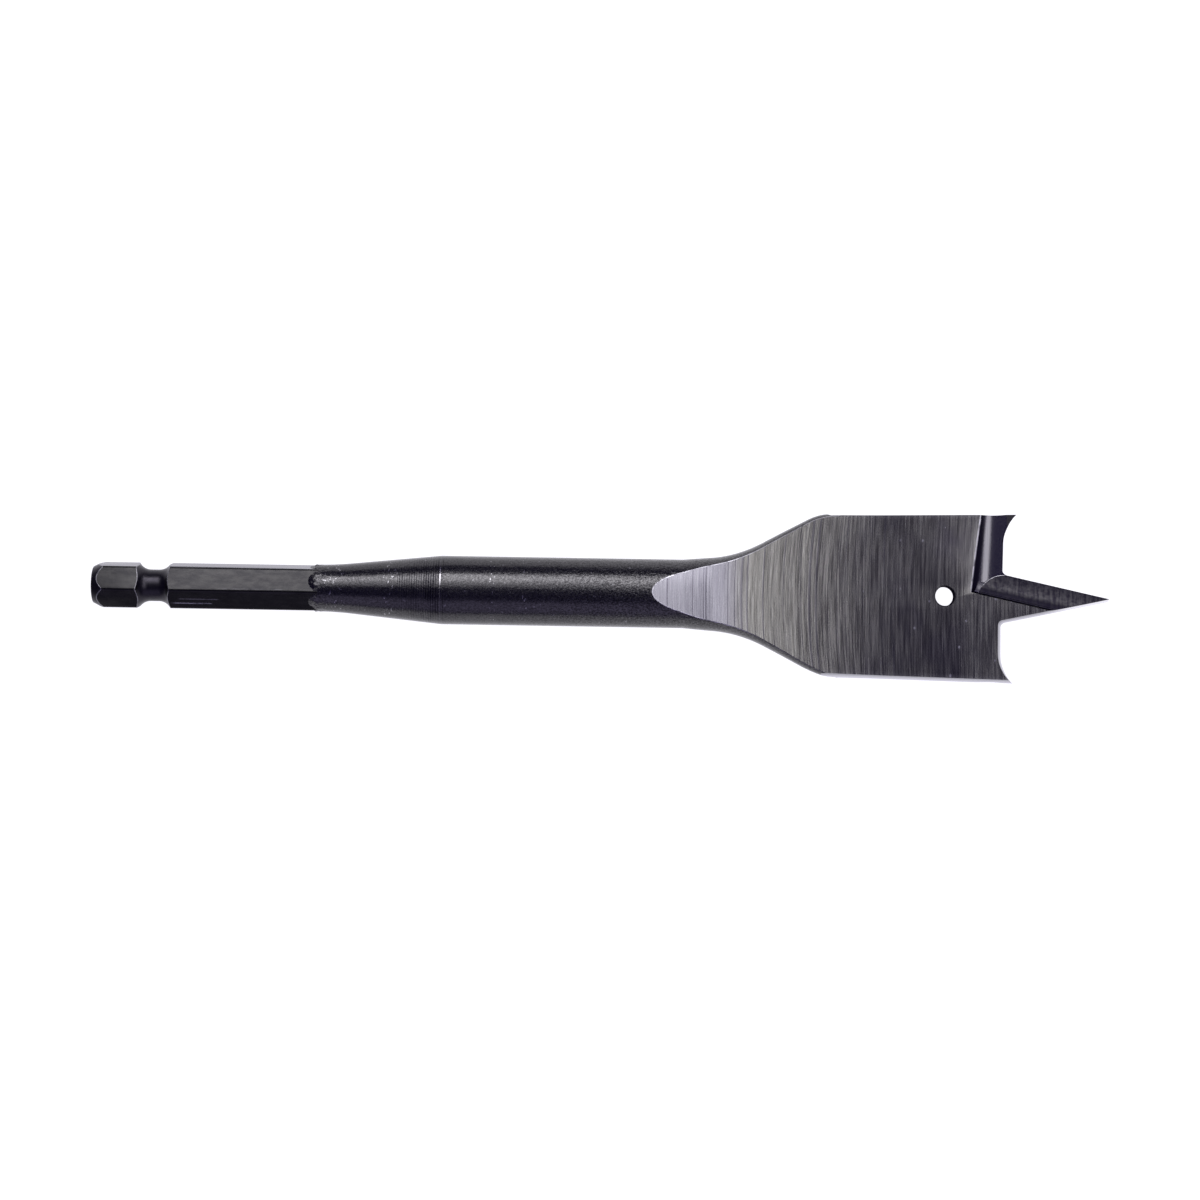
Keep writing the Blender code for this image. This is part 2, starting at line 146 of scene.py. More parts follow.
# Grinding lines: the bow of their arcs, where the light verge beside the lip groove lies, and the
# deeper lines as (station, width)
LINE_BOW_RADIUS = 0.09
GROOVE_VERGE = 0.13115
GROOVE_VERGE_SLOPE = 0.117
DEEP_LINES = (
    (0.08573, 0.00008),
    (0.08948, 0.0001),
    (0.0911, 0.00008),
    (0.09148, 0.00012),
    (0.09472, 0.00007),
    (0.09577, 0.00008),
    (0.0968, 0.00016),
    (0.09765, 0.00012),
    (0.10005, 0.0001),
    (0.107, 0.00016),
    (0.108, 0.00014),
)

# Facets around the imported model's shank, which lies on one of them
CAD_FACETS_AROUND = 60

# Facets here. Edges that turn by more than the sharp angle are shaded sharp.
FACETS_AROUND = 160
FACETS_ON_HEX_CORNER = 5
FACETS_ON_GRIND = 60
FACETS_ON_ROOT = 48
FACETS_ON_TAPER = 24
FACETS_ON_ROUND = 20
FACETS_ON_FLARE = 70
FACETS_ON_FILLET = 14
FACETS_ON_SPUR = 20
FACETS_ON_FLUTE_END = 24
FACETS_ON_FLUTE_WALL = 16
FACETS_ON_FLUTE_FLOOR = 12
FACETS_IN_HOLE = 72
FACETS_IN_GROOVE = 360
SHARP_ANGLE_DEG = 14.0

# Stations along the axis
TAPER_START = HEX_LENGTH
ROUND_START = TAPER_START + TAPER_LENGTH
FLARE_START = ROUND_START + ROUND_LENGTH
SHOULDER = FLARE_START + FLARE_LENGTH
LIPS = SHOULDER + BLADE_LENGTH
TIP = LIPS + POINT_LENGTH
SPUR_TIPS = LIPS + SPUR_HEIGHT

# Rounding of edges: those that handling has worn bright, which also carry a painted glint, the hole's, and
# the one behind each lip groove.
# Edges shorter than a sliver are closed up first.
WORN_EDGE = 0.00008
HOLE_EDGE = 0.00015
GROOVE_EDGE = 0.00014
WORN_SEGMENTS = 2
WORN_FROM_DEG = 6.0
SLIVER = 0.000012

# Unevenness of the taper's root: its height, its waves per metre, and the fractal noise's dimension,
# lacunarity and octaves
ROOT_WANDER = 0.00009
ROOT_WANDER_WAVES = 1500.0
ROOT_WANDER_NOISE = (0.6, 2.0, 3)

# Camera: what it looks at, how far it stands and leans from overhead, its roll, lens and sensor
CAMERA_TARGET = (-0.00017, -0.00112, 0.00516)
CAMERA_DISTANCE = 0.4
CAMERA_TILT_DEG = 3.0
CAMERA_ROLL_DEG = 0.935
CAMERA_LENS_MM = 80.13
CAMERA_SENSOR_MM = 36.0
CAMERA_CLIP = (0.01, 20.0)

# Soft lamps, as (name, lean from overhead in X and Y, span in X and Y, radiance, distance, colour), with the
# leans and spans in degrees
WHITE = (1.0, 1.0, 1.0)
SOFTBOXES = (
    ("softbox_right", 27.0, 0.0, 20.0, 40.0, 2.65, 2.4, WHITE),
    ("softbox_back", 12.0, 41.5, 48.0, 25.0, 4.6, 1.2, WHITE),
    ("softbox_back_left", -24.0, 41.5, 24.0, 25.0, 3.2, 1.2, WHITE),
    ("softbox_overhead", 0.0, 19.0, 60.0, 16.0, 1.7, 1.2, WHITE),
    ("fill_front", 0.0, -60.0, 70.0, 42.0, 0.56, 1.2, (0.8, 0.73, 1.0)),
)

# Room and floor: the room's dim violet, and a floor that glows nearly white like a light table
ROOM_COLOUR = (0.44, 0.36, 1.0, 1.0)
ROOM_STRENGTH = 0.16
FLOOR_HALF_SIZE = 8.0
FLOOR_COLOUR = (0.12, 0.12, 0.12, 1.0)
FLOOR_ROUGHNESS = 0.9
FLOOR_SPECULAR = 0.1
FLOOR_GLOW_COLOUR = (0.95, 0.94, 1.0, 1.0)
FLOOR_GLOW = 1.08

# Allowances that leave no trace on the finished form
SPARE = 0.004
HEX_CLEARANCE = 0.0005
FLUTE_LAP = 0.00003
WELD_DISTANCE = 1e-6

# Lengths that follow from those above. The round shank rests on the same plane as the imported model's.
AXIS_HEIGHT = CAD_ROUND_RADIUS * math.cos(math.pi / CAD_FACETS_AROUND)
ROUND_RADIUS = AXIS_HEIGHT / math.cos(math.pi / FACETS_AROUND)
HEX_CORNER = HEX_ACROSS_FLATS / math.sqrt(3)
FRONT = BLADE_THICKNESS / 2
ROD_LENGTH = 2 * (BLADE_LENGTH + POINT_LENGTH)

# Turns that carry a cutter from the plane it is drawn in
HALF_TURN = Matrix.Rotation(math.pi, 4, "X")
Z_TO_X = Matrix.Rotation(math.pi / 2, 4, "Y")
X_TO_Z = Matrix.Rotation(-math.pi / 2, 4, "Y")
Y_TO_Z = Matrix.Rotation(math.pi / 2, 4, "X")
XY_TO_YZ = Matrix.Rotation(math.pi / 2, 4, "Z") @ Y_TO_Z

# The kinds of surface, which are also the order of the material slots
FORGED, HEX, TURNED, FACE, RELIEF, LIP_GROOVE, FLUTE, HOLE, WORN_AND_PAINTED_GLINT = range(9)


def object_of(mesh):
    obj = bpy.data.objects.new(mesh.name, mesh)
    bpy.context.scene.collection.objects.link(obj)
    return obj


def evaluated_mesh(obj, name):
    """The object's mesh with its modifiers applied, and its seams welded; the object is removed."""
    bpy.context.view_layer.update()
    graph = bpy.context.evaluated_depsgraph_get()
    mesh = bpy.data.meshes.new_from_object(obj.evaluated_get(graph))
    bpy.data.batch_remove([obj, obj.data])
    mesh.name = name
    form = bmesh.new()
    form.from_mesh(mesh)
    bmesh.ops.remove_doubles(form, verts=form.verts, dist=WELD_DISTANCE)
    form.to_mesh(mesh)
    form.free()
    return mesh


def marked(mesh, surface):
    """Gives every face of a mesh one kind of surface."""
    mesh.polygons.foreach_set("material_index", [surface] * len(mesh.polygons))
    return mesh


def extruded(name, outline, half_depth, placed=None):
    """A flat outline in XY, thickened both ways along Z, then carried by the matrix placed."""
    curve = bpy.data.curves.new(name, "CURVE")
    curve.dimensions = "2D"
    curve.fill_mode = "BOTH"
    curve.extrude = half_depth
    spline = curve.splines.new("POLY")
    spline.points.add(len(outline) - 1)
    for point, (x, y) in zip(spline.points, outline):
        point.co = (x, y, 0.0, 1.0)
    spline.use_cyclic_u = True
    mesh = evaluated_mesh(object_of(curve), name)
    if placed is not None:
        mesh.transform(placed)
    return mesh


def arc(centre, radius, start_deg, end_deg, facets):
    """Points on an arc, both ends included."""
    steps = [start_deg + (end_deg - start_deg) * i / facets for i in range(facets + 1)]
    return [
        (
            centre[0] + radius * math.cos(math.radians(angle)),
            centre[1] + radius * math.sin(math.radians(angle)),
        )
        for angle in steps
    ]


def smooth_step(share):
    share = min(max(share, 0.0), 1.0)
    return share * share * (3.0 - 2.0 * share)


def soft_min(a, b, blend):
    """The lesser of two heights, rounded off where they come within blend of each other."""
    share = min(max(0.5 + 0.5 * (b - a) / blend, 0.0), 1.0)
    return b + (a - b) * share - blend * share * (1.0 - share)


def soft_max(a, b, blend):
    return -soft_min(-a, -b, blend)


def side_half_width(along):
    """Half the blade's width on its leading face: widest at the spurs, and less towards the shank."""
    return BLADE_WIDTH / 2 - math.tan(math.radians(SIDE_TAPER_DEG)) * (SPUR_TIPS - along)


def hex_bar():
    """A hex bar with rounded corners, turned about the axis, which ends inside the taper."""
    bar = bpy.data.meshes.new("hex_bar")
    form = bmesh.new()
    length = HEX_LENGTH + RUNOUT_LENGTH / 2
    bmesh.ops.create_cone(
        form, cap_ends=True, segments=6, radius1=HEX_CORNER, radius2=HEX_CORNER, depth=length
    )
    corners = [e for e in form.edges if abs(e.verts[0].co.z - e.verts[1].co.z) > length / 2]
    bmesh.ops.bevel(
        form,
        geom=corners,
        offset=HEX_CORNER_RADIUS * math.tan(math.radians(30)),
        offset_type="OFFSET",
        segments=FACETS_ON_HEX_CORNER,
        profile=0.5,
        affect="EDGES",
    )
    form.to_mesh(bar)
    form.free()
    turn = Matrix.Rotation(math.radians(-HEX_TURN_DEG), 4, "X")
    bar.transform(turn @ Matrix.Translation((length / 2, 0, 0)) @ Z_TO_X)
    return marked(bar, HEX)


def swept(name, profile):
    """The closed form that a profile of (along the axis, radius) points sweeps round X."""
    mesh = bpy.data.meshes.new(name)
    form = bmesh.new()
    rings = []
    for along, radius in profile:
        ring = []
        for step in range(FACETS_AROUND):
            angle = (step + 0.5) * 2 * math.pi / FACETS_AROUND
            ring.append(form.verts.new((along, radius * math.cos(angle), radius * math.sin(angle))))
        rings.append(ring)
    close_rings(form, rings)
    form.to_mesh(mesh)
    form.free()
    return mesh


def close_rings(form, rings):
    for near, far in zip(rings, rings[1:]):
        for i in range(FACETS_AROUND):
            j = (i + 1) % FACETS_AROUND
            form.faces.new((near[i], near[j], far[j], far[i]))
    form.faces.new(rings[0])
    form.faces.new(rings[-1])
    bmesh.ops.recalc_face_normals(form, faces=form.faces)


def hex_envelope():
    """The turned form that trims the hex bar to its chamfered end and its detent groove."""
    clear = HEX_CORNER + HEX_CLEARANCE
    flank = (GROOVE_LENGTH - NECK_LENGTH) / 2
    fall = HEX_CORNER - NECK_RADIUS
    flank_radius = (flank**2 + fall**2) / (2 * fall)
    sweep = math.degrees(math.asin(flank / flank_radius))
    height = NECK_RADIUS + flank_radius
    neck_start = GROOVE_START + flank
    neck_end = neck_start + NECK_LENGTH
    slope = (HEX_CORNER - END_FACE_RADIUS) / END_CHAMFER_LENGTH
    reach = END_CHAMFER_LENGTH + (clear - HEX_CORNER) / slope
    profile = [(0.0, END_FACE_RADIUS), (reach, clear), (GROOVE_START, clear)]
    profile += arc((neck_start, height), flank_radius, -90 - sweep, -90, FACETS_ON_FILLET)
    profile += arc((neck_end, height), flank_radius, -90, -90 + sweep, FACETS_ON_FILLET)
    far = HEX_LENGTH + SPARE
    profile += [(GROOVE_START + GROOVE_LENGTH, clear), (far, clear)]
    return marked(swept("hex_envelope", profile), TURNED)


def forged_half_widths(along):
    """How far the forging reaches to +Y and to -Y: spread a little, then flared to rounded shoulders."""
    spread = ROUND_RADIUS + math.tan(math.radians(SPREAD_ANGLE_DEG)) * (along - FLARE_START)
    fall = math.tan(math.radians(FLARE_ANGLE_DEG)) * (SHOULDER - along)
    flare = soft_max(spread, side_half_width(SHOULDER) - fall, FLARE_ROOT_BLEND) - spread
    half = spread + flare * smooth_step((along - FLARE_START) / FLATTEN_START)
    offset = FORGING_OFFSET * smooth_step((along - FLARE_START - FLATTEN_START) / OFFSET_LENGTH)
    widening = math.tan(math.radians(SHOULDER_ANGLE_DEG)) * (along - SHOULDER)
    limit = side_half_width(SHOULDER) + widening
    return [
        soft_min(reach, limit + stock, blend)
        for reach, stock, blend in zip((half + offset, half - offset), SHOULDER_STOCKS, SHOULDER_BLENDS)
    ]


def forged_section(along):
    """A round bar's section squeezed flat: two half circles, drawn apart by a straight stretch."""
    flatten_from = FLARE_START + FLATTEN_START
    share = smooth_step((along - flatten_from) / (SHOULDER - flatten_from))
    half_thickness = ROUND_RADIUS + (FORGED_THICKNESS / 2 - ROUND_RADIUS) * share
    reach = forged_half_widths(along)
    ring = []
    for step in range(FACETS_AROUND):
        angle = (step + 0.5) * 2 * math.pi / FACETS_AROUND
        centre = reach[0] - half_thickness if math.cos(angle) > 0 else half_thickness - reach[1]
        across = centre + half_thickness * math.cos(angle)
        ring.append(Vector((along, across, half_thickness * math.sin(angle))))
    return ring


def shank_radius(along):
    """The radius of the taper and the round shank, and of the taper's root inside the hex."""
    climb = (TAPER_ROOT_RADIUS - HEX_ACROSS_FLATS / 2) / RUNOUT_LENGTH
    slope = (ROUND_RADIUS - TAPER_ROOT_RADIUS) / (TAPER_LENGTH - TAPER_BLEND_LENGTH / 2)
    past = along - TAPER_START
    if past < 0:
        return TAPER_ROOT_RADIUS + climb * past
    if past < TAPER_BLEND_LENGTH:
        return TAPER_ROOT_RADIUS + slope * past**2 / (2 * TAPER_BLEND_LENGTH)
    return min(ROUND_RADIUS - slope * (ROUND_START - along), ROUND_RADIUS)


def shank_section(along):
    """A ring of the taper or the round shank, a little uneven where the taper is forged out of the hex."""
    radius = shank_radius(along)
    near = max(0.0, 1.0 - abs(along - TAPER_START) / (2 * RUNOUT_LENGTH))
    ring = []
    for step in range(FACETS_AROUND):
        angle = (step + 0.5) * 2 * math.pi / FACETS_AROUND
        point = Vector((along, radius * math.cos(angle), radius * math.sin(angle)))
        wander = noise.fractal(point * ROOT_WANDER_WAVES, *ROOT_WANDER_NOISE) * ROOT_WANDER * near
        ring.append(Vector((along, point.y * (1 + wander / radius), point.z * (1 + wander / radius))))
    return ring


def spaced(start, end, count):
    return [start + (end - start) * i / count for i in range(count)]


def forging():
    """The whole bar ahead of the hex, as a loft of round sections and then of flattened ones."""
    mesh = bpy.data.meshes.new("spade_bit_steel")
    root = TAPER_START - 2 * RUNOUT_LENGTH
    rough_end = TAPER_START + 2 * RUNOUT_LENGTH
    flare_end = SHOULDER + SPARE
    stations = spaced(root, rough_end, FACETS_ON_ROOT)
    stations += spaced(rough_end, ROUND_START, FACETS_ON_TAPER)
    stations += spaced(ROUND_START, FLARE_START, FACETS_ON_ROUND)
    stations += spaced(FLARE_START, flare_end, FACETS_ON_FLARE)
    stations += [flare_end, TIP + SPARE]
    form = bmesh.new()
    rings = []
    for along in stations:
        if along > FLARE_START:
            points = forged_section(along)
        else:
            points = shank_section(along)
        rings.append([form.verts.new(point) for point in points])
    close_rings(form, rings)
    form.to_mesh(mesh)
    form.free()
    return marked(mesh, FORGED)


def relieved(name, outline, lip_lean_deg, side_lean_deg):
    """A cutter for the +Y half, drawn on the front face, that leans back below it at the two angles."""
    lean = Matrix.Identity(4)
    lean[0][2] = math.tan(math.radians(lip_lean_deg))
    lean[1][2] = math.tan(math.radians(side_lean_deg))
    lift = Matrix.Translation((0, 0, FRONT))
    return marked(extruded(name, outline, FORGED_THICKNESS, lift @ lean), RELIEF)


def face_cutter():
    """The grinding wheel's path over a face: flat over the blade, curving up and out of the shank."""
    flat_from = SHOULDER + GRIND_RUNOUT
    rise = ROUND_RADIUS + SPARE / 2 - FRONT
    sweep = math.degrees(math.acos(1 - rise / GRIND_RADIUS))
    top = ROUND_RADIUS + SPARE
    path = arc((flat_from, FRONT + GRIND_RADIUS), GRIND_RADIUS, -90 - sweep, -90, FACETS_ON_GRIND)
    outline = [(path[0][0], top)] + path + [(TIP + 2 * SPARE, FRONT), (TIP + 2 * SPARE, top)]
    return marked(extruded("face_cutter", outline, BLADE_WIDTH, Y_TO_Z), FACE)


def side_cutter(start):
    """Grinds a side, from start past the shoulder, where a ramp leaves a trace of the forging proud."""
    near, far = SHOULDER + start, TIP
    outside = BLADE_WIDTH
    outline = [
        (near - outside, side_half_width(near) + outside * SIDE_GRIND_RAMP),
        (near, side_half_width(near)),
        (far, side_half_width(far)),
        (far, outside + outside * SIDE_GRIND_RAMP),
    ]
    return relieved("side_cutter", outline, 0.0, SIDE_RELIEF_DEG)


def point_edge():
    """Where the point's leading edge would reach the axis on the front face, and its slope towards it."""
    slope = math.tan(math.radians(POINT_HALF_ANGLE_DEG))
    lip_fall = math.tan(math.radians(LIP_RELIEF_DEG)) * FRONT
    side_fall = math.tan(math.radians(POINT_RELIEF_DEG)) * FRONT
    return TIP + lip_fall + side_fall / slope, slope


def end_cutter():
    """The air ahead of one half: past the point's edge, round its root, along the lip and up the spur."""
    reach, slope = point_edge()
    far = TIP + 2 * SPARE
    lean = POINT_HALF_ANGLE_DEG
    root_along = LIPS + POINT_ROOT_RADIUS
    root_across = slope * (reach - root_along) + POINT_ROOT_RADIUS / math.cos(math.radians(lean))
    fillet = arc((root_along, root_across), POINT_ROOT_RADIUS, -90 - lean, -180, FACETS_ON_FILLET)
    drop = SPUR_ARC_RADIUS - SPUR_HEIGHT
    spur_across = BLADE_WIDTH / 2 - math.sqrt(SPUR_ARC_RADIUS**2 - drop**2)
    centre = (LIPS + SPUR_ARC_RADIUS, spur_across)
    spur = arc(centre, SPUR_ARC_RADIUS, 180, 180 - SPUR_ARC_SWEEP_DEG, FACETS_ON_SPUR)
    outline = [(far, slope * (reach - far))] + fillet + spur
    outline += [(spur[-1][0], BLADE_WIDTH), (far, BLADE_WIDTH)]
    return relieved("end_cutter", outline, LIP_RELIEF_DEG, POINT_RELIEF_DEG)


def rod(name, radius, length, facets, placed):
    """A cylinder along X, centred, then carried by the matrix placed."""
    mesh = bpy.data.meshes.new(name)
    form = bmesh.new()
    bmesh.ops.create_cone(
        form, cap_ends=True, segments=facets, radius1=radius, radius2=radius, depth=length
    )
    form.to_mesh(mesh)
    form.free()
    mesh.transform(placed @ Z_TO_X)
    return mesh


def within(mesh, *limits):
    """The part of a cutter that lies inside each of the other meshes."""
    obj = object_of(mesh)
    fences = [object_of(limit) for limit in limits]
    for fence in fences:
        boolean(obj, fence, "INTERSECT")
    result = evaluated_mesh(obj, mesh.name)
    bpy.data.batch_remove(fences + list(limits))
    return result


def flute_border(along):
    """How far across the flute's inner border stands, which is parallel to the point's edge."""
    reach, slope = point_edge()
    return slope * (reach - along) - FLUTE_WIDTH / math.cos(math.radians(POINT_HALF_ANGLE_DEG))


def flute_end(radius):
    """The flute's end, round the place where its border meets the lips, from there to the lips' line."""
    centre = (LIPS, flute_border(LIPS))
    return arc(centre, radius, 180 - POINT_HALF_ANGLE_DEG, 90, FACETS_ON_FLUTE_END)


def flute_frame():
    """Carries X to the point's leading edge and Y across it, with the flute's border as the zero line."""
    reach = point_edge()[0]
    return (
        Matrix.Translation((reach, 0, 0))
        @ Matrix.Rotation(math.radians(-POINT_HALF_ANGLE_DEG), 4, "Z")
        @ Matrix.Translation((0, -FLUTE_WIDTH, 0))
    )


def flute_section(border, far_tilt_deg):
    """The flute across its length, from its border: a steep round wall, then a broad hollow floor."""
    steep, gentle = math.radians(FLUTE_WALL_TILT_DEG), math.radians(FLUTE_FLOOR_TILT_DEG)
    centre = (
        border + FLUTE_WALL_RADIUS * math.sin(steep),
        FRONT + FLUTE_WALL_RADIUS * math.cos(steep),
    )
    start, foot = -90 - FLUTE_WALL_TILT_DEG, -90 - FLUTE_FLOOR_TILT_DEG
    wall = arc(centre, FLUTE_WALL_RADIUS, start, foot, FACETS_ON_FLUTE_WALL)
    centre = (
        wall[-1][0] + FLUTE_FLOOR_RADIUS * math.sin(gentle),
        wall[-1][1] + FLUTE_FLOOR_RADIUS * math.cos(gentle),
    )
    return wall + arc(centre, FLUTE_FLOOR_RADIUS, foot, -90 + far_tilt_deg, FACETS_ON_FLUTE_FLOOR)[1:]


def lip_groove_cutter():
    """A round hollow behind the lip, which ends in the same wall as the flute's and at the flute's end."""
    fall = math.radians(LIP_GROOVE_FALL_DEG)
    height = FRONT - LIP_GROOVE_DEPTH + LIP_GROOVE_RADIUS
    placed = (
        Matrix.Translation((LIPS - LIP_GROOVE_SETBACK, BLADE_WIDTH / 2, height))
        @ Matrix.Rotation(math.radians(90 - LIP_GROOVE_SLANT_DEG), 4, "Z")
        @ Matrix.Rotation(-fall, 4, "Y")
    )
    groove = rod("lip_groove_cutter", LIP_GROOVE_RADIUS, ROD_LENGTH, FACETS_IN_GROOVE, placed)
    end = flute_end(FLUTE_WIDTH - FLUTE_LAP)
    near = LIPS - 2 * LIP_GROOVE_RADIUS
    outline = [(near, flute_border(near))] + end
    outline += [(TIP, end[-1][1]), (TIP, BLADE_WIDTH), (near, BLADE_WIDTH)]
    wall = flute_section(FLUTE_LAP, 0.0)
    low = FRONT - BLADE_THICKNESS
    profile = [(wall[0][0], FORGED_THICKNESS)] + wall + [(wall[-1][0], low)]
    profile += [(BLADE_WIDTH, low), (BLADE_WIDTH, FORGED_THICKNESS)]
    beside = extruded("beside_flute", profile, ROD_LENGTH, flute_frame() @ XY_TO_YZ)
    return marked(within(groove, extruded("plan", outline, BLADE_WIDTH), beside), LIP_GROOVE)


def flute_cutter():
    """A round hollow along the point, parallel to its leading edge, which it cuts through."""
    section = flute_section(0.0, FLUTE_FAR_TILT_DEG)
    section += [(section[-1][0], FORGED_THICKNESS), (0.0, FORGED_THICKNESS)]
    flute = extruded("flute_cutter", section, ROD_LENGTH, flute_frame() @ XY_TO_YZ)
    end = flute_end(FLUTE_WIDTH)
    far = TIP + SPARE
    outline = end + [(end[-1][0], BLADE_WIDTH), (far, BLADE_WIDTH)]
    outline += [(far, -BLADE_WIDTH), (end[0][0], -BLADE_WIDTH)]
    return marked(within(flute, extruded("plan", outline, BLADE_WIDTH)), FLUTE)


def hole_cutter():
    placed = Matrix.Translation((LIPS - HOLE_FROM_LIPS, HOLE_OFFSET, 0)) @ X_TO_Z
    length = BLADE_THICKNESS + SPARE
    return marked(rod("hole_cutter", HOLE_DIAMETER / 2, length, FACETS_IN_HOLE, placed), HOLE)


def boolean(obj, other, operation):
    modifier = obj.modifiers.new(other.name, "BOOLEAN")
    modifier.object = other
    modifier.operation = operation
    modifier.solver = "EXACT"


def bevelled(form, edges, width, surface):
    bmesh.ops.bevel(
        form,
        geom=edges,
        offset=width,
        offset_type="OFFSET",
        segments=WORN_SEGMENTS,
        profile=0.5,
        affect="EDGES",
        clamp_overlap=False,
        material=surface,
    )


def wear_edges(mesh):
    """Darkens the land ahead of each lip groove, and rounds the edges between some kinds of surface."""
    form = bmesh.new()
    form.from_mesh(mesh)
    # The taper's ragged root is left out, because closing its slivers would open the hex's corner
    away = [vert for vert in form.verts if abs(vert.co.x - TAPER_START) > TAPER_BLEND_LENGTH / 2]
    bmesh.ops.remove_doubles(form, verts=away, dist=SLIVER)
    for face in form.faces:
        middle = face.calc_center_median()
        on_lead = middle.x > LIPS and middle.y * middle.z > 0 and abs(middle.y) > BLADE_WIDTH / 4
        if face.material_index == FACE and on_lead:
            face.material_index = TURNED

    def between(*pairs):
        found = []
        for edge in form.edges:
            kinds = {face.material_index for face in edge.link_faces}
            behind = max(vert.co.x for vert in edge.verts) < LIPS - LIP_GROOVE_SETBACK
            if len(edge.link_faces) == 2 and kinds in pairs and (behind or FLUTE in kinds):
                if edge.calc_face_angle() > math.radians(WORN_FROM_DEG):
                    found.append(edge)
        return found

    def crosswise(edge):
        run = edge.verts[1].co - edge.verts[0].co
        return abs(run.y) > 2 * abs(run.x)

    # Worn edges, whose bevels also carry a painted glint
    bevelled(form, between({HEX, TURNED}, {FACE, FORGED}, {LIP_GROOVE, FLUTE}), WORN_EDGE, WORN_AND_PAINTED_GLINT)
    bevelled(form, [e for e in between({FACE, LIP_GROOVE}) if crosswise(e)], GROOVE_EDGE, WORN_AND_PAINTED_GLINT)
    bevelled(form, between({FACE, HOLE}), HOLE_EDGE, HOLE)
    form.to_mesh(mesh)
    form.free()


def steel_form():
    """The finished mesh of the bit, in the row frame."""
    shank = object_of(hex_bar())
    envelope = object_of(hex_envelope())
    boolean(shank, envelope, "INTERSECT")
    helpers = [shank, envelope]
    bit = object_of(forging())
    boolean(bit, shank, "UNION")
    sides = [side_cutter(start) for start in SIDE_GRIND_STARTS]
    for meshes in ([face_cutter()], sides, [end_cutter()], [lip_groove_cutter()], [flute_cutter()]):
        first = object_of(meshes[0])
        twin = object_of(meshes[1] if len(meshes) > 1 else meshes[0].copy())
        twin.matrix_world = HALF_TURN
        boolean(bit, first, "DIFFERENCE")
        boolean(bit, twin, "DIFFERENCE")
        helpers += [first, twin]
    hole = object_of(hole_cutter())
    boolean(bit, hole, "DIFFERENCE")
    mesh = evaluated_mesh(bit, "spade_bit_steel")
    bpy.data.batch_remove(helpers + [hole])
    wear_edges(mesh)
    mesh.transform(Matrix.Translation((-TIP / 2, 0, AXIS_HEIGHT)))
    mesh.shade_smooth()
    mesh.set_sharp_from_angle(angle=math.radians(SHARP_ANGLE_DEG))
    return mesh


# Materials


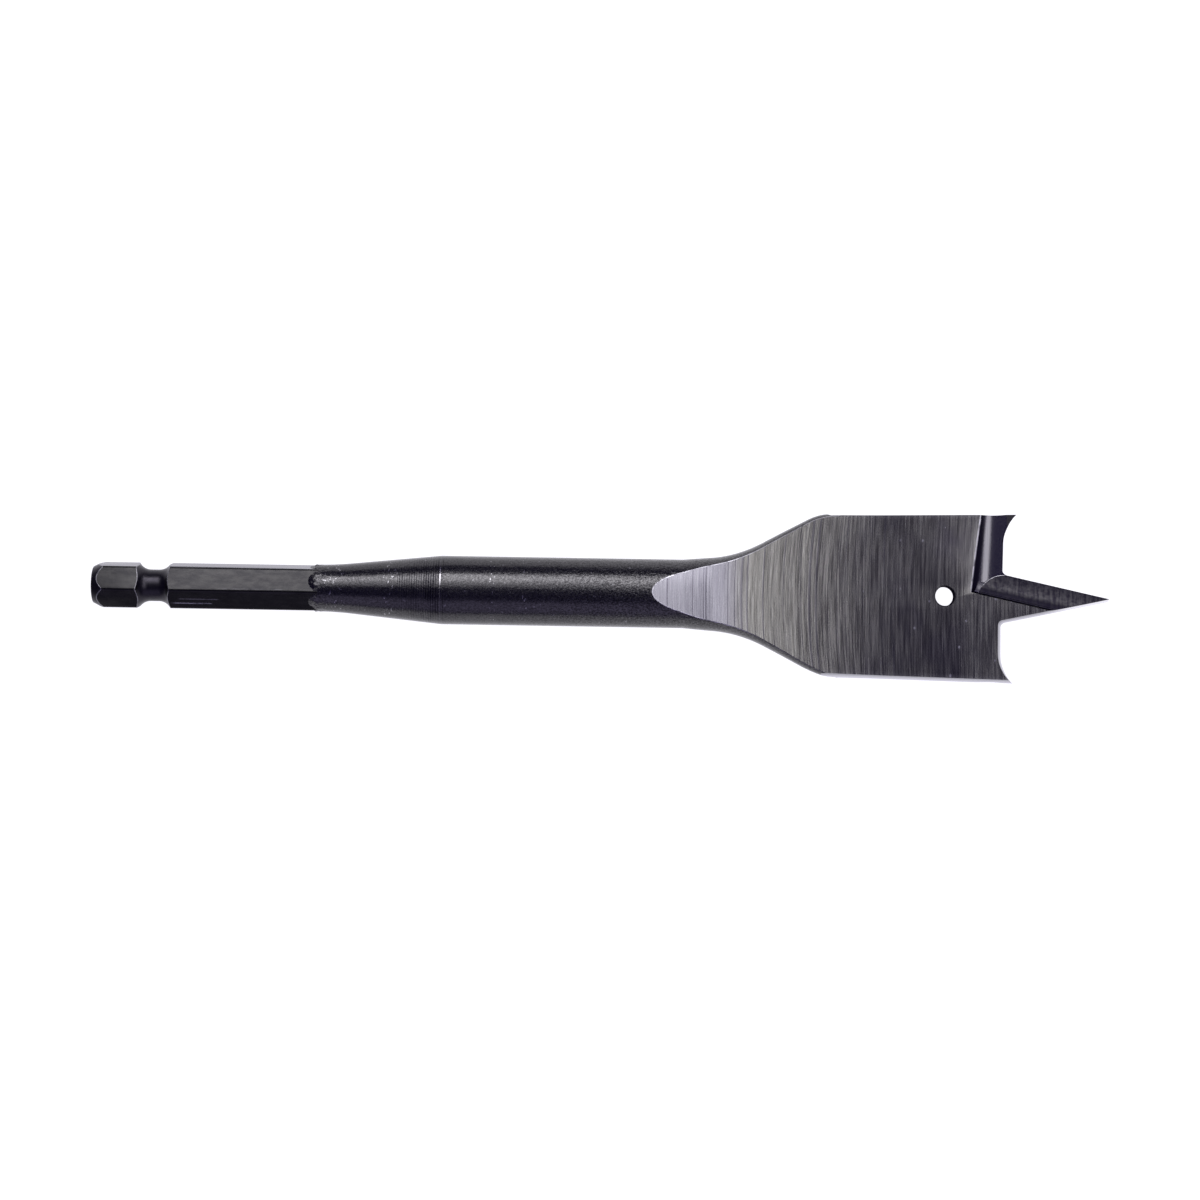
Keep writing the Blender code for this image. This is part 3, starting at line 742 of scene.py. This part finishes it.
class Graph:
    """A few short calls for wiring a material's nodes. Each value is a number or an output socket."""

    def __init__(self, name):
        self.material = bpy.data.materials.new(name)
        self.material.use_nodes = True
        self.tree = self.material.node_tree
        self.shader = self.tree.nodes["Principled BSDF"]
        place = self.tree.nodes.new("ShaderNodeTexCoord")
        split = self.tree.nodes.new("ShaderNodeSeparateXYZ")
        self.tree.links.new(place.outputs["Object"], split.inputs[0])
        self.place = place.outputs["Object"]
        self.x, self.y, self.z = split.outputs
        facing = self.tree.nodes.new("ShaderNodeSeparateXYZ")
        self.tree.links.new(place.outputs["Normal"], facing.inputs[0])
        self.endward, self.upward = facing.outputs[0], facing.outputs[2]

    def feed(self, socket, value):
        if isinstance(value, bpy.types.NodeSocket):
            self.tree.links.new(value, socket)
        else:
            socket.default_value = value

    def math(self, operation, *values):
        made = self.tree.nodes.new("ShaderNodeMath")
        made.operation = operation
        for socket, value in zip(made.inputs, values):
            self.feed(socket, value)
        return made.outputs[0]

    def sum(self, *values):
        total = values[0]
        for value in values[1:]:
            total = self.math("ADD", total, value)
        return total

    def times(self, *values):
        total = values[0]
        for value in values[1:]:
            total = self.math("MULTIPLY", total, value)
        return total

    def vector(self, x, y, z):
        made = self.tree.nodes.new("ShaderNodeCombineXYZ")
        for socket, value in zip(made.inputs, (x, y, z)):
            self.feed(socket, value)
        return made.outputs[0]

    def stretched(self, x, y, z):
        """The place on the object, with each axis in waves per metre."""
        return self.vector(
            self.math("MULTIPLY", self.x, x),
            self.math("MULTIPLY", self.y, y),
            self.math("MULTIPLY", self.z, z),
        )

    def noise(self, vector, detail, roughness):
        made = self.tree.nodes.new("ShaderNodeTexNoise")
        made.inputs["Scale"].default_value = 1.0
        made.inputs["Detail"].default_value = detail
        made.inputs["Roughness"].default_value = roughness
        self.feed(made.inputs["Vector"], vector)
        return made.outputs["Fac"]

    def waves(self, x, y, z, detail, roughness):
        """Noise with so many waves per metre along each axis."""
        return self.noise(self.stretched(x, y, z), detail, roughness)

    def spots(self, vector, radius, share):
        """Soft round spots, one in each cell, of which only a share of the cells keep theirs."""
        made = self.tree.nodes.new("ShaderNodeTexVoronoi")
        self.feed(made.inputs["Vector"], vector)
        made.inputs["Scale"].default_value = 1.0
        pick = self.tree.nodes.new("ShaderNodeSeparateColor")
        self.tree.links.new(made.outputs["Color"], pick.inputs[0])
        kept = self.math("LESS_THAN", pick.outputs[0], share)
        size = self.math("MULTIPLY", pick.outputs[1], radius)
        near = self.range(made.outputs["Distance"], size, self.math("MULTIPLY", size, 0.4))
        return self.math("MULTIPLY", near, kept)

    def range(self, value, low, high, out_low=0.0, out_high=1.0):
        made = self.tree.nodes.new("ShaderNodeMapRange")
        made.interpolation_type = "SMOOTHSTEP"
        sockets = ("Value", "From Min", "From Max", "To Min", "To Max")
        for name, number in zip(sockets, (value, low, high, out_low, out_high)):
            self.feed(made.inputs[name], number)
        return made.outputs[0]

    def along(self, start, end, out_start=0.0, out_end=1.0):
        """A smooth change between two stations along the axis."""
        return self.range(self.x, station(start), station(end), out_start, out_end)

    def band(self, value, low, high, soft):
        """1 between low and high, falling to 0 within soft outside them."""
        rise = self.range(value, low - soft, low)
        fall = self.range(value, high, high + soft, 1.0, 0.0)
        return self.math("MULTIPLY", rise, fall)

    def stretch(self, start, end, soft):
        """1 between two stations along the axis, falling to 0 within soft outside them."""
        return self.band(self.x, station(start), station(end), soft)

    def face_side(self):
        """1 on the front face's side of the axis and -1 on the back's."""
        return self.math("SIGN", self.math("SUBTRACT", self.z, AXIS_HEIGHT))

    def lead(self):
        """The distance across the blade, above 0 on the half that the face there leads with."""
        return self.times(self.y, self.face_side())

    def mix(self, factor, a, b):
        made = self.tree.nodes.new("ShaderNodeMix")
        made.data_type = "RGBA"
        self.feed(made.inputs["Factor"], factor)
        for name, value in (("A", a), ("B", b)):
            socket = [s for s in made.inputs if s.name == name and s.type == "RGBA"][0]
            self.feed(socket, value)
        return [s for s in made.outputs if s.type == "RGBA"][0]

    def finish(self, colour, roughness, height, depth):
        """Wires the steel's shader. depth is the height map's full swing, in metres."""
        self.shader.inputs["Metallic"].default_value = 1.0
        self.feed(self.shader.inputs["Base Color"], colour)
        self.feed(self.shader.inputs["Roughness"], roughness)
        bump = self.tree.nodes.new("ShaderNodeBump")
        bump.inputs["Strength"].default_value = 1.0
        bump.inputs["Distance"].default_value = depth
        self.feed(bump.inputs["Height"], height)
        self.tree.links.new(bump.outputs[0], self.shader.inputs["Normal"])
        return self.material


def station(along):
    """The row frame's X of a station that is measured from the shank's end."""
    return along - TIP / 2


def forged_steel():
    """Black forging scale, with turned rings, nicks and rubbed places along the taper."""
    g = Graph("black_steel_forged")
    grain = g.waves(2600, 3200, 3200, 2.0, 0.65)
    coarse = g.waves(900, 1100, 1100, 2.0, 0.5)
    turned = g.stretch(0.0462, 0.0521, 0.0012)
    wave = g.math("SINE", g.times(g.x, 2 * math.pi / TURNING_PITCH))
    chatter = g.waves(2200, 60, 60, 1.0, 0.5)
    rings = g.times(turned, g.times(wave, chatter))
    rough = g.stretch(0.0328, 0.0356, 0.0009)
    scars = g.waves(1500, 1500, 1500, 3.0, 0.7)
    coarser = g.along(0.06, 0.086, 1.1, 3.2)
    height = g.sum(
        g.times(grain, coarser),
        g.times(coarse, 0.8),
        rings,
        g.times(g.times(rough, scars), 3.0),
    )
    nicks = g.spots(g.stretched(420, 420, 420), 0.3, 0.12)
    height = g.math("SUBTRACT", height, g.times(nicks, 1.2))
    tone = g.waves(260, 260, 260, 3.0, 0.6)
    colour = g.mix(tone, (0.043, 0.041, 0.046, 1.0), (0.058, 0.056, 0.059, 1.0))
    pitting = g.range(g.waves(3600, 4200, 4200, 2.0, 0.7), 0.32, 0.68)
    pitting = g.times(g.math("SUBTRACT", pitting, 0.5), g.along(0.06, 0.084, 0.7, 1.3))
    pits = g.mix(0.45, colour, (0.0, 0.0, 0.0, 1.0))
    crests = g.mix(0.035, colour, (1.0, 1.0, 1.0, 1.0))
    colour = g.mix(g.sum(0.5, pitting), pits, crests)
    ridge = g.times(turned, g.range(g.times(wave, chatter), -0.4, 0.35, 0.75, 0.0))
    ridge = g.times(ridge, g.along(0.0455, 0.0515, 0.1, 1.0))
    ridge = g.times(ridge, g.range(g.waves(500, 260, 260, 2.0, 0.6), 0.35, 0.6))
    colour = g.mix(ridge, colour, (0.008, 0.007, 0.012, 1.0))
    # Painted glint: a bright ring where the taper meets the round shank, strongest across the band where its
    # highlight falls
    painted_glint_ring = g.stretch(ROUND_START - 0.00006, ROUND_START + 0.00006, 0.00007)
    painted_glint_ring = g.times(painted_glint_ring, g.math("MULTIPLY_ADD", g.band(g.y, 0.0009, 0.0027, 0.0007), 0.75, 0.12))
    colour = g.mix(painted_glint_ring, colour, (0.36, 0.35, 0.37, 1.0))
    rubbed = g.stretch(0.0348, 0.0376, 0.0003)
    for low, high in RUBBED_PLACES:
        rubbed = g.math("MAXIMUM", rubbed, g.stretch(low, high, 0.0003))
    flecks = g.range(g.waves(3300, 1700, 1700, 1.0, 0.5), 0.64, 0.72)
    colour = g.mix(g.times(flecks, rubbed), colour, (0.26, 0.255, 0.27, 1.0))
    strays = g.range(g.waves(1500, 1300, 1300, 1.0, 0.5), 0.72, 0.78)
    colour = g.mix(g.times(strays, 0.5), colour, (0.2, 0.195, 0.21, 1.0))
    colour = g.mix(g.times(nicks, 0.3), colour, (0.2, 0.195, 0.21, 1.0))
    roughness = g.range(grain, 0.3, 0.7, 0.2, 0.3)
    return g.finish(colour, roughness, height, 0.000016)


def hex_steel():
    """Drawn flats: dark and smooth, with a painted highlight on those that stand upright, and a few scratches
    along them.
    """
    g = Graph("black_steel_hex")
    drawn = g.waves(90, 3500, 3500, 2.0, 0.6)
    mottle = g.waves(1900, 1900, 1900, 3.0, 0.65)
    height = g.sum(g.times(drawn, 0.4), g.times(mottle, 0.6))
    tone = g.waves(520, 1300, 1300, 3.0, 0.65)
    colour = g.mix(g.range(tone, 0.3, 0.7), (0.0165, 0.016, 0.0175, 1.0), (0.0243, 0.0236, 0.0245, 1.0))
    # Painted highlight: the upright flats are lighter, as where they reflect the bright floor
    sides = g.range(g.math("ABSOLUTE", g.upward), 0.3, 0.4, 1.0, 0.0)
    sides = g.times(sides, g.range(g.math("ABSOLUTE", g.endward), 0.3, 0.6, 1.0, 0.0))
    colour = g.mix(sides, colour, (0.13, 0.125, 0.15, 1.0))
    broken = g.range(g.waves(900, 3000, 3000, 2.0, 0.6), 0.35, 0.6, 0.2, 1.0)
    for start, end, across, width, strength in HEX_SCRATCHES:
        along = g.stretch(start, end, 0.0006)
        line = g.band(g.y, across - width / 2, across + width / 2, 0.00006)
        mark = g.times(g.times(along, line), g.times(broken, strength))
        colour = g.mix(mark, colour, (0.3, 0.295, 0.33, 1.0))
    return g.finish(colour, 0.24, height, 0.00001)


def turned_steel():
    """The fine rings that a lathe leaves, under black oxide."""
    g = Graph("black_steel_turned")
    rings = g.waves(3500, 40, 40, 2.0, 0.5)
    mottle = g.waves(1800, 1800, 1800, 2.0, 0.6)
    height = g.sum(g.times(rings, 0.6), g.times(mottle, 0.4))
    colour = g.mix(mottle, (0.021, 0.019, 0.026, 1.0), (0.037, 0.035, 0.04, 1.0))
    return g.finish(colour, 0.33, height, 0.00001)


def face_steel():
    """Ground across the blade: the wheel leaves long shallow arcs, bands and a few deeper scratches."""
    g = Graph("black_steel_ground_face")
    curl = g.along(0.1095, 0.117, 0.5 / LINE_BOW_RADIUS, 0.15 / LINE_BOW_RADIUS)
    bow = g.times(g.times(g.y, g.y), curl)
    u = g.math("SUBTRACT", g.x, bow)

    def lines(per_metre, across, seed, detail=2.0):
        place = g.vector(g.times(u, per_metre), g.times(g.y, across), seed)
        return g.noise(place, detail, 0.6)

    # The wheel's lines from fine to broad, and the deeper scratches
    fine = lines(6500, 240, 0.0)
    middle = lines(3300, 110, 3.0)
    broad = lines(1000, 45, 7.0, 1.0)
    deep = g.range(lines(2600, 20, 11.0, 1.0), 0.63, 0.7)
    for place, width in DEEP_LINES:
        centre = station(place)
        groove = g.band(u, centre - width / 2, centre + width / 2, width)
        deep = g.math("MAXIMUM", deep, groove)
    height = g.sum(
        g.times(fine, 0.35),
        middle,
        g.times(broad, 1.2),
        g.times(deep, -0.35),
    )
    tone = g.sum(
        g.times(fine, 0.45),
        g.times(middle, 0.4),
        g.times(broad, 0.15),
    )
    # Bright steel, with a cooler tint where the grind runs out on the shank
    blued = g.along(0.0935, 0.0985, 1.0, 0.0)
    bright = g.mix(blued, (0.23, 0.224, 0.213, 1.0), (0.218, 0.213, 0.237, 1.0))
    dull = g.mix(blued, (0.104, 0.1, 0.093, 1.0), (0.15, 0.144, 0.168, 1.0))
    colour = g.mix(g.range(tone, 0.34, 0.66), dull, bright)
    colour = g.mix(g.times(deep, 0.6), colour, (0.075, 0.07, 0.09, 1.0))
    # Stains, and painted shade towards the lips that deepens a little on the trailing half, less of both
    # along the axis
    patches = g.range(g.waves(130, 90, 50, 3.0, 0.6), 0.4, 0.62)
    patches = g.times(patches, g.along(0.108, 0.122))
    colour = g.mix(g.times(patches, 0.4), colour, (0.056, 0.05, 0.078, 1.0))
    painted_shade_to_lips = g.along(0.1085, 0.1275, 0.0, 0.51)
    lead = g.lead()
    low = g.range(lead, -0.004, 0.0, 0.04, 0.0)
    spine = g.band(g.y, -0.0009, 0.0011, 0.0012)
    low = g.math("SUBTRACT", low, g.times(spine, 0.34))
    colour = g.mix(g.sum(painted_shade_to_lips, g.times(low, painted_shade_to_lips)), colour, (0.008, 0.005, 0.02, 1.0))
    # Fresher lines just behind the lips
    dawn = g.range(lines(1900, 160, 19.0), 0.42, 0.6)
    dawn = g.times(dawn, g.along(0.1295, 0.1315))
    dawn = g.times(dawn, g.range(lead, -0.002, 0.002, 0.36, 0.22))
    colour = g.mix(dawn, colour, (0.2, 0.196, 0.19, 1.0))
    # A light verge behind the lip groove, rubbed sides and scattered flecks
    verge = g.math("MULTIPLY_ADD", lead, GROOVE_VERGE_SLOPE, station(GROOVE_VERGE))
    verge = g.range(g.math("SUBTRACT", verge, g.x), 0.0, 0.001, 0.3, 0.0)
    verge = g.times(verge, g.range(lead, 0.0004, 0.002))
    taper = math.tan(math.radians(SIDE_TAPER_DEG))
    half_width = g.math("MULTIPLY_ADD", g.x, taper, side_half_width(TIP / 2))
    relieved_by = math.tan(math.radians(SIDE_RELIEF_DEG)) * BLADE_THICKNESS
    inset = g.times(g.math("LESS_THAN", lead, 0.0), relieved_by)
    from_side = g.math("SUBTRACT", g.math("SUBTRACT", half_width, inset), g.math("ABSOLUTE", g.y))
    rubbed = g.times(g.range(from_side, 0.0, 0.0008, 0.3, 0.0), g.along(0.108, 0.112))
    colour = g.mix(g.math("MAXIMUM", verge, rubbed), colour, (0.24, 0.236, 0.24, 1.0))
    flecks = g.spots(g.stretched(900, 700, 700), 0.28, 0.24)
    flecks = g.times(flecks, g.along(0.111, 0.117))
    colour = g.mix(g.times(flecks, 0.75), colour, (0.34, 0.33, 0.37, 1.0))
    return g.finish(colour, g.range(middle, 0.3, 0.7, 0.2, 0.28), height, 0.000009)


def relief_steel():
    """Ground bright at the cutting edges, and duller towards the face behind them."""
    g = Graph("black_steel_ground_relief")
    grain = g.waves(400, 400, 5000, 2.0, 0.6)
    colour = g.mix(grain, (0.4, 0.388, 0.45, 1.0), (0.54, 0.53, 0.59, 1.0))
    towards_edge = g.times(g.math("SIGN", g.y), g.math("SUBTRACT", g.z, AXIS_HEIGHT))
    colour = g.mix(g.range(towards_edge, -1.1 * FRONT, 0.9 * FRONT), (0.115, 0.11, 0.14, 1.0), colour)
    # Painted reflection of the bright floor: nearly white towards the tip
    colour = g.mix(g.along(0.142, 0.147, 0.0, 0.8), colour, (0.8, 0.79, 0.82, 1.0))
    return g.finish(colour, 0.25, grain, 0.000004)


def from_flute_border(g):
    """How far a place on either face lies from the inner border of its flute, towards the point's edge."""
    lean = math.radians(POINT_HALF_ANGLE_DEG)
    across = g.times(g.lead(), math.cos(lean))
    along = g.times(g.math("SUBTRACT", g.x, station(point_edge()[0])), math.sin(lean))
    return g.sum(across, along, FLUTE_WIDTH)


def groove_steel():
    """Ground along the lip, with painted shade: black in the corner by the flute and along the wall behind.
    """
    g = Graph("black_steel_lip_groove")
    grain = g.waves(2600, 90, 500, 2.0, 0.6)
    colour = g.mix(grain, (0.1, 0.095, 0.112, 1.0), (0.18, 0.175, 0.186, 1.0))
    # Painted shade in the corner by the flute
    corner = g.range(from_flute_border(g), 0.0004, 0.0012, 0.9, 0.0)
    colour = g.mix(corner, colour, (0.008, 0.007, 0.014, 1.0))
    # Painted shade along the steep wall behind the groove
    wall = g.math("MULTIPLY_ADD", g.lead(), GROOVE_VERGE_SLOPE, station(GROOVE_VERGE))
    wall = g.range(g.math("SUBTRACT", g.x, wall), 0.0007, 0.0011, 0.75, 0.0)
    colour = g.mix(wall, colour, (0.012, 0.01, 0.02, 1.0))
    return g.finish(colour, 0.2, grain, 0.000005)


def flute_steel():
    """Streaked and dull, with painted shade that turns it black along the steep wall."""
    g = Graph("black_steel_flute")
    grain = g.waves(900, 2600, 1200, 3.0, 0.65)
    mottle = g.waves(1500, 1500, 1500, 3.0, 0.65)
    streaks = g.waves(2400, 260, 700, 2.0, 0.6)
    tone = g.math("MULTIPLY_ADD", streaks, 0.5, g.times(mottle, 0.5))
    colour = g.mix(g.range(tone, 0.36, 0.64), (0.042, 0.038, 0.052, 1.0), (0.13, 0.125, 0.128, 1.0))
    # Painted shade along the flute's steep wall
    corner = g.range(from_flute_border(g), 0.0009, 0.0019, 0.94, 0.0)
    colour = g.mix(corner, colour, (0.006, 0.005, 0.011, 1.0))
    height = g.sum(g.times(grain, 0.6), g.times(mottle, 0.8))
    return g.finish(colour, 0.28, height, 0.00001)


def hole_steel():
    """Black oxide that no wheel has touched, made matte and near-black as painted shade, the hole being too
    deep to shine.
    """
    g = Graph("black_steel_hole_painted_shade")
    grain = g.waves(1500, 1500, 400, 2.0, 0.6)
    colour = g.mix(grain, (0.008, 0.007, 0.012, 1.0), (0.02, 0.018, 0.024, 1.0))
    material = g.finish(colour, 0.6, grain, 0.000006)
    # No metallic or specular reflection, so the hole shows painted shade
    g.shader.inputs["Metallic"].default_value = 0.0
    g.shader.inputs["Specular IOR Level"].default_value = 0.0
    return material


def worn_and_painted_glint_steel():
    """Bare steel where the oxide has rubbed off an edge, broken up where it hasn't, and brightened as a
    painted glint along the edge.
    """
    g = Graph("black_steel_worn_and_painted_glint_edge")
    wear = g.range(g.waves(900, 900, 900, 2.0, 0.6), 0.3, 0.55)
    colour = g.mix(wear, (0.14, 0.135, 0.155, 1.0), (0.45, 0.44, 0.48, 1.0))
    on_hex = g.along(0.04, 0.045, 0.74, 0.0)
    on_flare = g.along(0.094, 0.1, 0.0, 0.85)
    on_lips = g.along(0.118, 0.122, 0.0, 1.0)
    on_flare = g.math("SUBTRACT", on_flare, g.times(on_lips, 0.5))
    colour = g.mix(g.math("MAXIMUM", on_hex, on_flare), colour, (0.085, 0.082, 0.09, 1.0))
    return g.finish(colour, 0.35, wear, 0.000003)


# Light, floor and camera


def softbox(name, lean_x_deg, lean_y_deg, span_x_deg, span_y_deg, radiance, distance, colour):
    """A rectangular lamp that faces the bit from the direction leaning by two angles from overhead."""
    lean_x, lean_y = math.tan(math.radians(lean_x_deg)), math.tan(math.radians(lean_y_deg))
    direction = Vector((lean_x, lean_y, 1.0)).normalized()
    light = bpy.data.lights.new(name, "AREA")
    light.shape = "RECTANGLE"
    light.size = 2 * distance * math.tan(math.radians(span_x_deg / 2))
    light.size_y = 2 * distance * math.tan(math.radians(span_y_deg / 2))
    light.energy = radiance * math.pi * light.size * light.size_y
    light.color = colour
    obj = bpy.data.objects.new(name, light)
    obj.location = direction * distance
    right = Vector((0, 1, 0)).cross(direction).normalized()
    up = direction.cross(right)
    obj.rotation_euler = Matrix((right, up, direction)).transposed().to_euler()
    bpy.context.scene.collection.objects.link(obj)


def camera():
    """Looks almost straight down on the bit, from a little to the -Y side."""
    data = bpy.data.cameras.new("camera")
    data.sensor_width = CAMERA_SENSOR_MM
    data.lens = CAMERA_LENS_MM
    data.clip_start, data.clip_end = CAMERA_CLIP
    obj = bpy.data.objects.new("camera", data)
    tilt = math.radians(CAMERA_TILT_DEG)
    back = Vector((0.0, -math.sin(tilt), math.cos(tilt)))
    obj.location = Vector(CAMERA_TARGET) + back * CAMERA_DISTANCE
    base = (-back).to_track_quat("-Z", "Y").to_matrix().to_4x4()
    roll = Matrix.Rotation(math.radians(CAMERA_ROLL_DEG), 4, "Z")
    obj.rotation_euler = (base @ roll).to_euler()
    bpy.context.scene.collection.objects.link(obj)
    bpy.context.scene.camera = obj


def floor():
    mesh = bpy.data.meshes.new("floor")
    form = bmesh.new()
    bmesh.ops.create_grid(form, x_segments=1, y_segments=1, size=FLOOR_HALF_SIZE)
    form.to_mesh(mesh)
    form.free()
    obj = object_of(mesh)
    material = bpy.data.materials.new("floor_white")
    material.use_nodes = True
    shader = material.node_tree.nodes["Principled BSDF"]
    shader.inputs["Base Color"].default_value = FLOOR_COLOUR
    shader.inputs["Roughness"].default_value = FLOOR_ROUGHNESS
    shader.inputs["Specular IOR Level"].default_value = FLOOR_SPECULAR
    shader.inputs["Emission Color"].default_value = FLOOR_GLOW_COLOUR
    shader.inputs["Emission Strength"].default_value = FLOOR_GLOW
    mesh.materials.append(material)


def studio():
    world = bpy.data.worlds.new("studio")
    world.use_nodes = True
    background = world.node_tree.nodes["Background"]
    background.inputs["Color"].default_value = ROOM_COLOUR
    background.inputs["Strength"].default_value = ROOM_STRENGTH
    bpy.context.scene.world = world
    for box in SOFTBOXES:
        softbox(*box)


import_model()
bpy.context.scene.view_settings.view_transform = "Standard"

bit = object_of(steel_form())
bit.name = "spade_bit_steel"
for finish in (
    forged_steel,
    hex_steel,
    turned_steel,
    face_steel,
    relief_steel,
    groove_steel,
    flute_steel,
    hole_steel,
    worn_and_painted_glint_steel,
):
    bit.data.materials.append(finish())
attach(bit, "root")
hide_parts("spade_bit")

floor()
studio()
camera()
